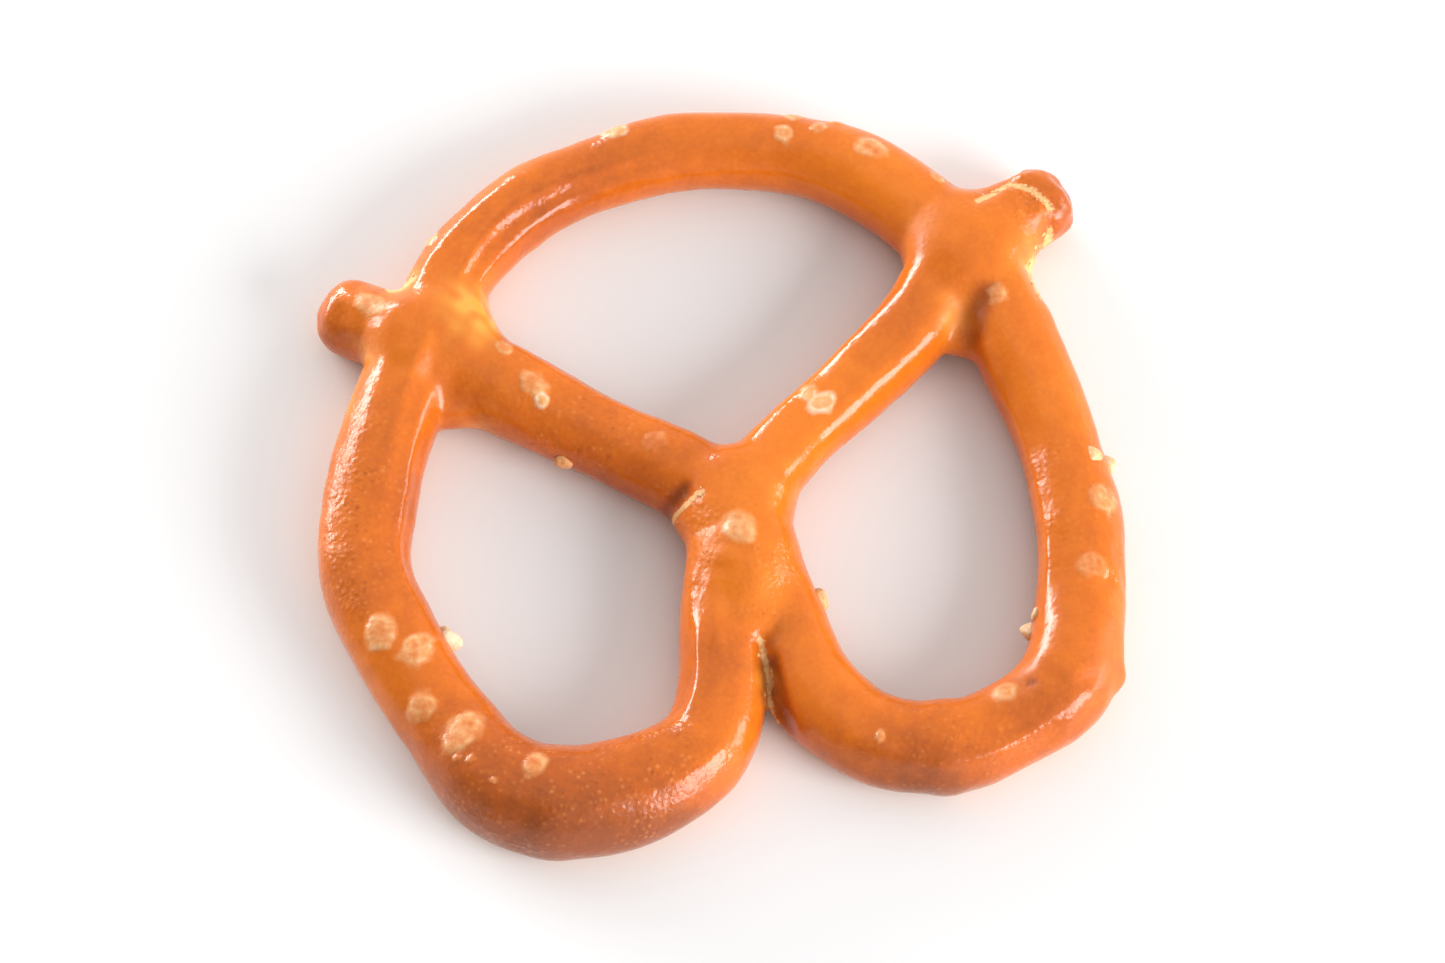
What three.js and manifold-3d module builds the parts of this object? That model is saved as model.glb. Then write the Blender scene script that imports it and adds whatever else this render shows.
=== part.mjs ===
// A small, hard-baked, salted pretzel twist, lying flat as it was baked.
//
// One rope of dough, about 215 mm long, starts at the left shoulder, runs down the left arm, passes
// under the crossing, turns round the right lobe and the arch to the left lobe, and comes back over
// the crossing to end on the right shoulder. Where the rope meets itself the dough has fused.
// Millimetres, +Z up. The origin is under the middle of the outline, on the surface it was baked on.

import * as THREE from 'three';
import { mergeVertices } from 'three/addons/utils/BufferGeometryUtils.js';
import Module from 'manifold-3d';

const wasm = await Module();
wasm.setup();

// ---- Driving dimensions ----

// The middle line of the rope, from the left end to the right end: its place in plan, how far it is
// lifted over another part of the rope, and the radius of the rope there.
//            x      y     lift  radius
const rope = [
  [-22.4,  10.9,  0.0,  2.30],  // left nub, the rope's first end
  [-19.7,   9.7,  0.0,  2.40],
  [-16.4,   7.6,  0.0,  2.60],  // under the left shoulder
  [-12.3,   5.6,  0.0,  2.65],  // left arm
  [ -7.2,   2.9,  0.0,  2.40],
  [ -2.7,   0.6,  0.0,  2.55],
  [  0.6,  -1.6,  0.0,  2.50],  // crossing, lower strand
  [  2.0,  -4.6,  0.0,  2.50],  // right side of the stem
  [  3.6,  -9.0,  0.0,  2.50],
  [  5.4, -13.4,  0.0,  2.75],  // right lobe
  [  8.7, -16.4,  0.0,  2.70],
  [ 13.1, -17.2,  0.0,  2.75],
  [ 17.3, -15.6,  0.0,  2.65],
  [ 20.4, -12.9,  0.0,  2.90],
  [ 21.3,  -8.0,  0.0,  2.65],  // right side
  [ 21.3,  -2.4,  0.0,  2.60],
  [ 19.7,   3.7,  0.0,  2.50],
  [ 17.9,   8.4,  0.0,  2.70],
  [ 15.8,  12.8,  0.0,  2.70],  // under the right shoulder
  [ 12.8,  16.8,  0.0,  2.60],
  [  8.4,  20.1,  0.0,  2.55],  // arch, the thinnest stretch
  [  3.6,  21.7,  0.0,  2.35],
  [ -2.1,  21.8,  0.0,  2.35],
  [ -7.6,  20.4,  0.0,  2.25],
  [-12.1,  18.1,  0.0,  2.30],
  [-15.6,  14.4,  0.2,  2.40],
  [-17.7,   9.7,  0.5,  2.55],  // over the left shoulder
  [-19.4,   5.1,  0.3,  2.75],
  [-20.9,  -0.2,  0.0,  2.85],  // left side
  [-21.3,  -5.5,  0.0,  2.75],
  [-19.5, -10.5,  0.0,  2.75],
  [-16.6, -15.1,  0.0,  2.75],
  [-13.9, -19.0,  0.0,  3.10],  // left lobe, the thickest stretch
  [ -9.9, -20.8,  0.0,  3.35],
  [ -5.1, -20.0,  0.0,  3.20],
  [ -1.3, -17.3,  0.0,  2.90],
  [  0.0, -13.0,  0.0,  2.70],  // left side of the stem
  [  0.1,  -8.0,  0.3,  2.60],
  [  0.6,  -4.4,  0.7,  2.50],
  [  1.5,  -1.4,  1.0,  2.45],  // crossing, upper strand
  [  4.5,   2.7,  0.6,  2.25],  // right arm
  [  8.1,   6.4,  0.3,  2.25],
  [ 11.5,   9.9,  0.4,  2.45],
  [ 13.8,  13.5,  0.4,  2.50],  // over the right shoulder
  [ 16.5,  16.4,  0.3,  2.40],
  [ 19.1,  18.1,  0.2,  2.30],  // right nub, the rope's last end
];
const rightLobeRow = 11;
const leftLobeRow = 33;

const seat = 0.82;            // height of the rope's middle over its flat underside, in radii
const nubBulge = 0.8;         // how far a rope end bulges past its last row, in radii

// Dough drawn across the corners where strands meet: a short bar from strand to strand.
//   from x,  y      to x,  y     height radius
const webs = [
  [-16.5,  12.9, -14.4,   6.6,  2.4,  1.5],  // upper hole, left corner
  [-19.1,   5.2, -13.7,   5.9,  2.2,  1.9],  // left hole, top corner
  [ -4.2,   1.4,   0.4,  -5.5,  2.4,  1.4],  // left hole, at the crossing
  [ -3.6,   0.5,   3.8,   1.2,  2.4,  0.9],  // upper hole, foot of the V
  [  3.2,   1.4,   2.1,  -5.6,  2.6,  1.2],  // right hole, at the crossing
  [ 12.6,  17.5,  13.0,  11.5,  2.0,  0.9],  // upper hole, right corner
  [ 11.6,  10.2,  17.8,   8.8,  2.2,  1.4],  // right hole, top corner
  [ 18.4,  17.2,  16.4,  11.0,  2.2,  1.2],  // notch under the right nub
  [  1.8,  -9.6,   1.4,  -4.6,  2.6,  2.2],  // valley of the stem
  [-21.4,  10.4, -17.0,   9.2,  2.8,  1.8],  // root of the left nub
  [ 22.1,  -9.0,  22.8, -12.4,  2.0,  1.2],  // right lobe, outer corner
];

// Coarse salt pressed into the top and the flanks: place in plan and width.
const salt = [
  [ -6.5,  22.5, 1.5], [  3.7,  22.0, 1.2], [  4.3,  23.7, 1.2], [  5.8,  22.5, 1.0],
  [  7.0,  23.3, 1.0], [  9.0,  21.0, 1.6], [ 13.0,  19.3, 0.9], [-18.0,  15.5, 1.2],
  [-19.7,  12.1, 1.0], [-21.1,  10.5, 1.7], [-13.1,   7.7, 0.9], [-11.3,   5.3, 1.5],
  [-10.8,   4.3, 1.0], [ -9.6,   1.1, 1.2], [ -4.0,   1.7, 1.2], [  0.9,  -4.3, 1.8],
  [  5.9,   4.2, 1.5], [  5.1,   4.9, 1.2], [  6.0,  -7.8, 1.4], [-20.3, -10.8, 1.6],
  [-18.1, -11.9, 1.8], [-16.0, -10.4, 1.4], [-17.8, -15.5, 1.6], [-15.3, -17.3, 2.2],
  [-11.0, -19.6, 1.4], [ 22.2,   1.1, 1.3], [ 23.2,   1.0, 1.2], [ 22.7,  -2.0, 1.6],
  [ 21.9,  -6.4, 1.6], [ 18.2,  -9.6, 1.2], [ 16.5,  10.9, 1.2], [ 16.7, -14.5, 1.3],
];
const saltSunk = 0.15;        // how far a grain on top is sunk, in widths
const saltSeed = 7;

// Fineness of the facets.
const sides = 20;             // corners of the rope's section
const ringsPerRow = 4;        // sections between two rows of the rope
const nubRings = 4;           // sections round the bulge of a rope end
const samplesPerRow = 20;     // places between two rows where salt may sit

// ---- The rope as a curve ----

const lastRow = rope.length - 1;
const middleLine = new THREE.CatmullRomCurve3(
  rope.map(([x, y, lift, radius]) => new THREE.Vector3(x, y, seat * radius + lift)), false, 'catmullrom', 0.5);
const radiusLine = new THREE.CatmullRomCurve3(
  rope.map(([, , , radius], row) => new THREE.Vector3(row, radius, 0)), false, 'catmullrom', 0.5);

// A station on a line: its middle, radius and directions.
function station(middle, radius, along) {
  const across = new THREE.Vector3(0, 0, 1).cross(along).normalize();
  const rise = new THREE.Vector3().crossVectors(along, across);
  return { middle, radius, along, across, rise };
}

// The station of the rope at a row number, which may lie between two rows.
function ropeAt(row) {
  const t = row / lastRow;
  return station(middleLine.getPoint(t), radiusLine.getPoint(t).y, middleLine.getTangent(t));
}

// ---- Solids from closed geometries ----

// A closed three.js geometry as a solid that can be joined and cut.
function solidFrom(geometry) {
  const bare = geometry.clone();
  bare.deleteAttribute('normal');
  bare.deleteAttribute('uv');
  const merged = mergeVertices(bare, 1e-4);
  return new wasm.Manifold(new wasm.Mesh({
    numProp: 3,
    vertProperties: new Float32Array(merged.attributes.position.array),
    triVerts: new Uint32Array(merged.index.array),
  }));
}

// The solid's skin as a three.js geometry.
function geometryFrom(solid) {
  const skin = solid.getMesh();
  const geometry = new THREE.BufferGeometry();
  geometry.setAttribute('position', new THREE.BufferAttribute(skin.vertProperties, 3));
  geometry.setIndex(new THREE.BufferAttribute(skin.triVerts, 1));
  geometry.computeVertexNormals();
  return geometry;
}

// A round section at a station, moved along by `ahead` and drawn at `scale` of the radius.
function section({ middle, radius, along, across, rise }, ahead = 0, scale = 1) {
  return Array.from({ length: sides }, (_, i) => {
    const turn = (2 * Math.PI * i) / sides;
    return middle.clone()
      .addScaledVector(along, ahead)
      .addScaledVector(across, radius * scale * Math.cos(turn))
      .addScaledVector(rise, radius * scale * Math.sin(turn));
  });
}

// A loft through sections, closed at both ends by a fan to one point.
function loft(sections, firstPoint, lastPoint) {
  const corners = [firstPoint, ...sections.flat(), lastPoint];
  const last = corners.length - 1;
  const faces = [];
  for (let i = 0; i < sides; i += 1) {
    const next = (i + 1) % sides;
    faces.push(0, 1 + next, 1 + i);
    faces.push(last, last - sides + i, last - sides + next);
    for (let ring = 0; ring < sections.length - 1; ring += 1) {
      const here = 1 + ring * sides;
      const there = here + sides;
      faces.push(here + i, here + next, there + next);
      faces.push(here + i, there + next, there + i);
    }
  }
  const geometry = new THREE.BufferGeometry();
  const places = corners.flatMap((corner) => corner.toArray());
  geometry.setAttribute('position', new THREE.Float32BufferAttribute(places, 3));
  geometry.setIndex(faces);
  return solidFrom(geometry);
}

// ---- The dough ----

// The shrinking sections and the tip of a rounded rope end. `way` is -1 at the first end, 1 at the last.
function nub(end, way) {
  const reach = way * nubBulge * end.radius;
  const sections = Array.from({ length: nubRings }, (_, i) => {
    const turn = (0.5 * Math.PI * (i + 1)) / (nubRings + 1);
    return section(end, reach * Math.sin(turn), Math.cos(turn));
  });
  return { sections, tip: end.middle.clone().addScaledVector(end.along, reach) };
}

// A loft between two stations through given sections, with a nub at either end where it is wanted.
function doughBar(sections, from, to, nubFirst, nubLast) {
  const start = nubFirst ? nub(from, -1) : { sections: [], tip: from.middle };
  const finish = nubLast ? nub(to, 1) : { sections: [], tip: to.middle };
  return loft([...start.sections.reverse(), ...sections, ...finish.sections], start.tip, finish.tip);
}

// One stretch of the rope as a solid. It ends in a nub at either end of the rope, and flat elsewhere.
function stretch(fromRow, toRow) {
  const sections = Array.from(
    { length: (toRow - fromRow) * ringsPerRow + 1 }, (_, i) => section(ropeAt(fromRow + i / ringsPerRow)));
  return doughBar(sections, ropeAt(fromRow), ropeAt(toRow), fromRow === 0, toRow === lastRow);
}

// The bar of dough that fills a corner between two strands. Its round ends lie in them.
function web([fromX, fromY, toX, toY, height, radius]) {
  const start = new THREE.Vector3(fromX, fromY, height);
  const end = new THREE.Vector3(toX, toY, height);
  const along = end.clone().sub(start).normalize();
  const from = station(start, radius, along);
  const to = station(end, radius, along);
  return doughBar([section(from), section(to)], from, to, true, true);
}

// ---- The salt ----

// A repeatable draw of numbers from 0 to 1.
function seededDraw(seed) {
  let state = seed;
  return () => {
    state = (state * 1664525 + 1013904223) % 4294967296;
    return state / 4294967296;
  };
}

const ropeSamples = Array.from(
  { length: lastRow * samplesPerRow + 1 }, (_, i) => ropeAt(i / samplesPerRow));

// Where a grain's middle sits: sunk under the skin of the rope, or on its flank where there is no
// rope below.
function grainSeat([x, y, width]) {
  let top = null;
  let flank = { gap: Infinity };
  for (const { middle, radius } of ropeSamples) {
    const distance = Math.hypot(x - middle.x, y - middle.y);
    if (distance < radius) {
      const height = middle.z + Math.sqrt(radius * radius - distance * distance) - saltSunk * width;
      top = Math.max(top ?? height, height);
    }
    if (distance - radius < flank.gap) {
      flank = { gap: distance - radius, height: middle.z };
    }
  }
  return new THREE.Vector3(x, y, top ?? flank.height);
}

// A chipped crystal with twenty faces: an icosahedron with its corners pulled in and out by chance.
function grain(row, draw) {
  const [, , width] = row;
  const bare = new THREE.IcosahedronGeometry(width / 2, 0);
  bare.deleteAttribute('normal');
  bare.deleteAttribute('uv');
  const crystal = mergeVertices(bare, 1e-4);
  const corners = crystal.attributes.position;
  for (let i = 0; i < corners.count; i += 1) {
    const pull = 0.85 + 0.35 * draw();
    corners.setXYZ(i, corners.getX(i) * pull, corners.getY(i) * pull, corners.getZ(i) * pull);
  }
  crystal.rotateZ(2 * Math.PI * draw());
  crystal.rotateX(2 * Math.PI * draw());
  const { x, y, z } = grainSeat(row);
  return solidFrom(crystal.translate(x, y, z));
}

// ---- Assembly ----

const draw = seededDraw(saltSeed);
const pieces = [
  stretch(0, rightLobeRow),
  stretch(rightLobeRow, leftLobeRow),
  stretch(leftLobeRow, lastRow),
  ...webs.map(web),
  ...salt.map((row) => grain(row, draw)),
];
const twist = pieces.reduce((whole, piece) => whole.add(piece));

// The baking surface leaves the underside flat.
const bakingSurface = solidFrom(new THREE.BoxGeometry(80, 80, 20).translate(0, 0, -10));

const pretzel = new THREE.Mesh(
  geometryFrom(twist.subtract(bakingSurface)),
  new THREE.MeshStandardMaterial({ color: '#c4661f', roughness: 0.35, metalness: 0 }));
pretzel.name = 'pretzel';

const group = new THREE.Group();
group.add(pretzel);

export default group;
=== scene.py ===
import math

import bpy
import numpy as np
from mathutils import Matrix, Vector


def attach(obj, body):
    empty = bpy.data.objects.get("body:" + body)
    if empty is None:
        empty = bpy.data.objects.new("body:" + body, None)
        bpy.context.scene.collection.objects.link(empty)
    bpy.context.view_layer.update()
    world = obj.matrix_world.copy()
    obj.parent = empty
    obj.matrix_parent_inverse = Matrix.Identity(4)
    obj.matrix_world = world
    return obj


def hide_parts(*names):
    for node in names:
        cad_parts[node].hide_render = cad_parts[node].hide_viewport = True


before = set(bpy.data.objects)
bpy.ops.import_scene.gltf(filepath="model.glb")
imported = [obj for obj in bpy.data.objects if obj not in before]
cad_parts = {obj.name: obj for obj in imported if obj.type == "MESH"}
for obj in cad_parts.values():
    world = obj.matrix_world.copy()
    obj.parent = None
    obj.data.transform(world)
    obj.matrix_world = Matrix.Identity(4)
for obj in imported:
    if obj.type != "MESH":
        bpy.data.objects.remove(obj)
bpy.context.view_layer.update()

# ---- The baked dough ----
# One rope of dough, dipped in lye and baked hard, so that its skin is thin, glossy and orange-brown.
# Where the rope crosses itself the dough has run together, and where it was drawn thin it is golden.
# The underside is flat and dull from the baking belt. All sizes here are in millimetres.

MM = 0.001

# The rope's middle line: place in plan, lift over another part of the rope, and radius.
#      x      y     lift  radius
ROPE = np.array([
    (-22.4,  10.9,  0.0,  2.30),  # left nub, the rope's first end
    (-19.7,   9.7,  0.0,  2.40),
    (-16.4,   7.6,  0.0,  2.60),  # under the left shoulder
    (-12.3,   5.6,  0.0,  2.65),  # left arm
    ( -7.2,   2.9,  0.0,  2.40),
    ( -2.7,   0.6,  0.0,  2.55),
    (  0.6,  -1.6,  0.0,  2.50),  # crossing, lower strand
    (  2.0,  -4.6,  0.0,  2.50),  # right side of the stem
    (  3.6,  -9.0,  0.0,  2.50),
    (  5.4, -13.4,  0.0,  2.75),  # right lobe
    (  8.7, -16.4,  0.0,  2.70),
    ( 13.1, -17.2,  0.0,  2.75),
    ( 17.3, -15.6,  0.0,  2.65),
    ( 20.4, -12.9,  0.0,  2.90),
    ( 21.3,  -8.0,  0.0,  2.65),  # right side
    ( 21.3,  -2.4,  0.0,  2.60),
    ( 19.7,   3.7,  0.0,  2.50),
    ( 17.9,   8.4,  0.0,  2.70),
    ( 15.8,  12.8,  0.0,  2.70),  # under the right shoulder
    ( 12.8,  16.8,  0.0,  2.60),
    (  8.4,  20.1,  0.0,  2.55),  # arch, the thinnest stretch
    (  3.6,  21.7,  0.0,  2.35),
    ( -2.1,  21.8,  0.0,  2.35),
    ( -7.6,  20.4,  0.0,  2.25),
    (-12.1,  18.1,  0.0,  2.30),
    (-15.6,  14.4,  0.2,  2.40),
    (-17.7,   9.7,  0.5,  2.55),  # over the left shoulder
    (-19.4,   5.1,  0.3,  2.75),
    (-20.9,  -0.2,  0.0,  2.85),  # left side
    (-21.3,  -5.5,  0.0,  2.75),
    (-19.5, -10.5,  0.0,  2.75),
    (-16.6, -15.1,  0.0,  2.75),
    (-13.9, -19.0,  0.0,  3.10),  # left lobe, the thickest stretch
    ( -9.9, -20.8,  0.0,  3.35),
    ( -5.1, -20.0,  0.0,  3.20),
    ( -1.3, -17.3,  0.0,  2.90),
    (  0.0, -13.0,  0.0,  2.70),  # left side of the stem
    (  0.1,  -8.0,  0.3,  2.60),
    (  0.6,  -4.4,  0.7,  2.50),
    (  1.5,  -1.4,  1.0,  2.45),  # crossing, upper strand
    (  4.5,   2.7,  0.6,  2.25),  # right arm
    (  8.1,   6.4,  0.3,  2.25),
    ( 11.5,   9.9,  0.4,  2.45),
    ( 13.8,  13.5,  0.4,  2.50),  # over the right shoulder
    ( 16.5,  16.4,  0.3,  2.40),
    ( 19.1,  18.1,  0.2,  2.30),  # right nub, the rope's last end
])
LAST_ROW = len(ROPE) - 1
RIGHT_LOBE_ROW = 11
LEFT_LOBE_ROW = 33
SEAT = 0.82             # height of the rope's middle over its flat underside, in radii
NUB_BULGE = 0.8         # how far a rope end bulges past its last row, in radii
SQUARENESS = 2.15       # power of the rope's rounded section, where 2 is a circle
STATIONS_PER_ROW = 30   # places between two rows where the rope is worked out

# Three stretches of the rope, none of which crosses itself: from row to row.
STRETCHES = ((0, RIGHT_LOBE_ROW), (RIGHT_LOBE_ROW, LEFT_LOBE_ROW), (LEFT_LOBE_ROW, LAST_ROW))

# Dough drawn across the corners where strands meet: a short bar from strand to strand.
#   from x,  y      to x,  y     height radius
WEBS = np.array([
    (-16.5,  12.9, -14.4,   6.6,  2.4,  1.5),  # upper hole, left corner
    (-19.1,   5.2, -13.7,   5.9,  2.2,  1.9),  # left hole, top corner
    ( -4.2,   1.4,   0.4,  -5.5,  2.4,  1.4),  # left hole, at the crossing
    ( -3.6,   0.5,   3.8,   1.2,  2.4,  0.9),  # upper hole, foot of the V
    (  3.2,   1.4,   2.1,  -5.6,  2.6,  1.2),  # right hole, at the crossing
    ( 12.6,  17.5,  13.0,  11.5,  2.0,  0.9),  # upper hole, right corner
    ( 11.6,  10.2,  17.8,   8.8,  2.2,  1.4),  # right hole, top corner
    ( 18.4,  17.2,  16.4,  11.0,  2.2,  1.2),  # notch under the right nub
    (  1.8,  -9.6,   1.4,  -4.6,  2.6,  2.2),  # valley of the stem
    (-21.4,  10.4, -17.0,   9.2,  2.8,  1.8),  # root of the left nub
    ( 22.1,  -9.0,  22.8, -12.4,  2.0,  1.2),  # right lobe, outer corner
])

# How far the dough has run together where strands meet: place, reach and depth of the fillet.
#     x      y    reach depth
FILLETS = np.array([
    (-16.2,   9.0,  3.5,  2.5),  # left shoulder
    (-18.8,   8.4,  2.8,  2.7),
    (  0.8,  -1.6,  3.6,  2.6),  # crossing
    (  1.6,  -5.5,  3.6,  2.4),  # stem
    ( 14.8,  15.2,  4.2,  2.8),  # right shoulder
])
SHARP_FILLET = 0.35     # fillet depth elsewhere
WEB_REACH = 9           # how far from its middle a bar can touch the dough
UNDERSIDE_ROUND = 0.35  # rounding where the flank meets the flat underside

# Shallow ripples all along the rope: how many lie round the section, their height, and how they wander:
# turn for each row, sway from side to side, and turn of the sway for each row, all in radians.
#   count height  turn  sway  pace
RIPPLES = (
    (5,   0.012,  0.9,  2.0,  0.7),
    (9,   0.008, -1.7,  1.5,  1.1),
)

# Long folds that rolling left in the rope: rows it runs between, where on the section in degrees from the
# rope's left side over its top, half width in degrees, and height; a groove is negative.
#   from   to    at  width height
FOLDS = (
    (22.0, 28.0,  78,  8,  0.16),  # arch, ridge over the inner face
    (21.6, 27.6,  58,  8, -0.10),
    (21.6, 27.6,  42,  8,  0.09),
    (20.8, 24.8,  28,  9,  0.06),
    (23.8, 26.2, 124,  8,  0.06),  # arch, outer edge
    (26.6, 30.2,  46,  9,  0.13),  # left side, inner edge
    (26.8, 29.8,  28,  8, -0.08),
    (26.6, 30.8, 102, 12,  0.05),  # left side, flattened outer face
    (26.6, 30.8, 146, 14,  0.09),
    (31.6, 35.8, 116, 10,  0.09),  # left lobe, outer shoulder
    (35.0, 36.8,  58,  9,  0.14),  # stem, left edge
    (36.0, 37.6,  75,  8,  0.12),
    (36.2, 38.4,  58,  9, -0.06),
    (39.4, 42.2,  42, 12,  0.09),  # right arm, upper left edge
    (39.4, 42.4, 130, 18,  0.08),  # right arm, lower right edge
    (39.6, 42.6,  86, 14, -0.08),
    ( 1.8,  5.4,  50, 14,  0.05),  # left arm, upper edge
    ( 2.0,  5.4, 132, 14,  0.06),  # left arm, lower edge
    ( 9.4, 13.0, 126,  9,  0.12),  # right lobe, outer shoulder
    ( 9.6, 12.8, 150, 10, -0.06),
    (13.8, 16.6,  38, 10,  0.10),  # right side, inner edge
)
FOLD_SWAY = math.radians(4)     # how far a fold wanders round the section
FOLD_PACE = 2.3                 # turn of that wandering for each row, in radians

# Salt grains: place in plan, width, length, heading of the length in degrees, how far the grain stands
# out of the skin, and how white it is.
#     x      y   width length heading  out white
SALT = np.array([
    ( -6.5,  22.5,  1.4,  1.7,   20,  0.12, 0.55),  # arch
    (  3.7,  22.0,  1.1,  1.3,   80,  0.08, 0.40),
    (  4.3,  23.7,  1.1,  1.3,    0,  0.15, 0.50),
    (  5.8,  22.5,  0.9,  1.0,   40,  0.06, 0.25),
    (  7.0,  23.3,  0.9,  1.2,   10,  0.12, 0.35),
    (  9.0,  21.0,  1.5,  2.1,  -25,  0.10, 0.35),
    ( 13.0,  19.3,  0.8,  1.1,  -40,  0.08, 0.35),
    (-17.7,  15.4,  1.0,  1.2,   50,  0.15, 0.50),
    (-19.7,  12.1,  0.9,  1.1,    0,  0.15, 0.50),  # left nub
    (-21.1,  10.5,  1.5,  2.1,  -30,  0.12, 0.38),
    (-13.1,   7.7,  0.9,  1.2,  -30,  0.06, 0.30),  # left arm
    (-11.3,   5.3,  1.5,  2.0,  -40,  0.07, 0.30),
    (-10.8,   4.3,  0.9,  1.0,  -40,  0.10, 0.60),
    ( -9.6,   1.1,  1.2,  1.5,  -20,  0.45, 0.55),
    ( -4.0,   1.7,  1.3,  1.6,   30,  0.04, 0.10),
    (  1.0,  -4.4,  1.9,  2.3,  -45,  0.06, 0.42),  # crossing
    (  5.9,   4.2,  1.5,  1.8,   40,  0.10, 0.62),  # right arm
    (  5.1,   4.9,  1.1,  1.3,   70,  0.08, 0.50),
    (  6.0,  -7.8,  1.3,  1.7,  -60,  0.60, 0.70),  # stem
    (-20.3, -10.8,  1.9,  2.3,   80,  0.07, 0.36),  # left side
    (-18.1, -11.9,  1.9,  2.4,   50,  0.08, 0.40),
    (-16.0, -10.4,  1.3,  1.6,   10,  0.90, 1.00),
    (-15.8,  -9.4,  0.8,  0.9,   40,  0.50, 0.80),
    (-17.8, -15.5,  1.7,  1.9,   60,  0.06, 0.32),
    (-15.3, -17.3,  2.0,  3.1,   52,  0.08, 0.33),
    (-11.0, -19.6,  1.5,  1.8,   65,  0.06, 0.30),  # left lobe
    (-15.6, -19.0,  0.5,  0.6,    0,  0.05, 0.15),
    (-14.8, -19.2,  0.5,  0.6,    0,  0.05, 0.15),
    (-13.5, -20.6,  0.4,  0.5,    0,  0.05, 0.15),
    ( 22.2,   1.1,  1.3,  1.5,   30,  0.20, 0.70),  # right side
    ( 23.2,   1.0,  1.1,  1.3,    0,  0.50, 0.80),
    ( 22.7,  -2.0,  1.6,  1.9,  -70,  0.08, 0.30),
    ( 21.9,  -6.4,  1.6,  1.9,   20,  0.05, 0.20),
    ( 18.3,  -9.7,  1.0,  1.3,   80,  0.75, 0.85),
    ( 18.7,  -9.0,  0.8,  1.0,    0,  0.35, 0.80),
    ( 16.5,  11.1,  1.2,  1.4,   45,  0.04, 0.30),
    ( 16.7, -14.5,  1.3,  1.6,   30,  0.08, 0.40),  # right lobe
    (  9.3, -17.4,  0.6,  0.8,   90,  0.05, 0.30),
])
CLEAR_OF_SKIN = 0.2     # a grain that stands out by this much is a crystal of its own, not sunk in
SUNKEN = SALT[SALT[:, 5] < CLEAR_OF_SKIN]
CRYSTALS = SALT[SALT[:, 5] >= CLEAR_OF_SKIN]
MOUND = 0.09            # how far the skin swells over a sunken grain
GRAIN_CORE = 0.4        # a sunken grain is whole out to this share of its half size,
MOUND_END = 1.2         # the skin swells out to this one,
TINT_END = 1.35         # and it is tinted out to this one

# Layers of soft lumps: size, height and seed of each.
SKIN_LUMPS = ((6.5, 0.045, 3), (2.2, 0.012, 5))     # all over the skin
GRAIN_LUMPS = ((1.1, 0.07, 35),)                    # round a sunken grain's outline, in shares of its size

# Wrinkled places of the skin: place, reach, and height of the wrinkles.
WRINKLED = np.array([
    ( 19.0,  18.0,  3.0,  2.4,  0.10),  # right nub
    (-22.6,  11.0,  2.4,  2.2,  0.07),  # left nub
    (  0.4,  -6.0,  4.6,  2.8,  0.04),  # under the crossing
    ( 22.6,  -6.5,  4.0,  1.6,  0.06),  # right side, over a buried grain
    ( 20.8, -14.0,  3.4,  2.0,  0.06),  # right lobe, outer corner
])
WRINKLE_SIZE = 1.5
WRINKLE_SEED = 9

# Dips, most of them where one stretch of the rope goes under another, painted darker with painted shade and
# some deeper baking: a line in plan from place to place, half width and depth.
#     x      y       x      y    width depth
CREASES = np.array([
    ( -4.4,  -2.9,  -2.2,  -1.5,  0.50,  0.35),  # left arm, under the stem
    (  2.9, -12.4,   3.8, -16.0,  0.50,  0.50),  # right lobe, beside the stem
    ( 15.6,  11.0,  15.0,   9.0,  0.80,  0.05),  # right side, under the arm
    ( 18.2, -14.0,  18.3, -14.0,  0.25,  0.15),  # right lobe, a burst blister
])

# Where the skin has torn: a line in plan from place to place, its half width, and the depth of the crack.
#     x      y       x      y    width depth
TORN = np.array([
    ( -3.1,  -2.8,  -1.3,  -1.9,  0.20,  0.10),  # left of the crossing
    (  2.2, -11.0,   2.9, -13.3,  0.17,  0.12),  # notch between the lobes
    (  2.7, -13.3,   3.1, -15.4,  0.14,  0.15),
    ( 15.4,  17.3,  17.4,  18.8,  0.20,  0.15),  # upper edge of the right nub
    ( 17.7,  18.6,  18.6,  18.3,  0.20,  0.12),  # round the end of the right nub
    ( 18.6,  18.3,  19.8,  17.1,  0.20,  0.12),
    ( 19.8,  16.1,  18.4,  13.5,  0.17,  0.15),  # between the right nub and the right side
    ( 18.4,  13.5,  19.1,  11.5,  0.15,  0.12),
    (-19.9,  11.9, -18.7,  12.4,  0.30,  0.10),  # between the left nub and the arch
])
WHOLE_FROM = 2.4        # height from which dips and cracks have their whole depth
NONE_BELOW = 1.2        # height below which they have none

PITCH = 0.215           # grid of the skin
MARGIN = 1.2            # room that the grid leaves round the dough
AT_ONCE = 4096          # places in plan that are worked out at once, to spare memory


def catmull_rom(rows, at):
    """Rows of a table joined by a uniform Catmull-Rom curve, read at row numbers `at`. Between P1 and P2 it
    is (2 P1 + (P2 - P0) t + (2 P0 - 5 P1 + 4 P2 - P3) t2 + (3 P1 - P0 - 3 P2 + P3) t3) / 2."""
    padded = np.vstack([2 * rows[0] - rows[1], rows, 2 * rows[-1] - rows[-2]])
    row = np.clip(np.floor(at).astype(int), 0, len(rows) - 2)
    t = (at - row)[:, None]
    before, here, there, beyond = (padded[row + i] for i in range(4))
    return 0.5 * (2 * here + (there - before) * t + (2 * before - 5 * here + 4 * there - beyond) * t**2
                  + (3 * here - before - 3 * there + beyond) * t**3)


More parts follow.
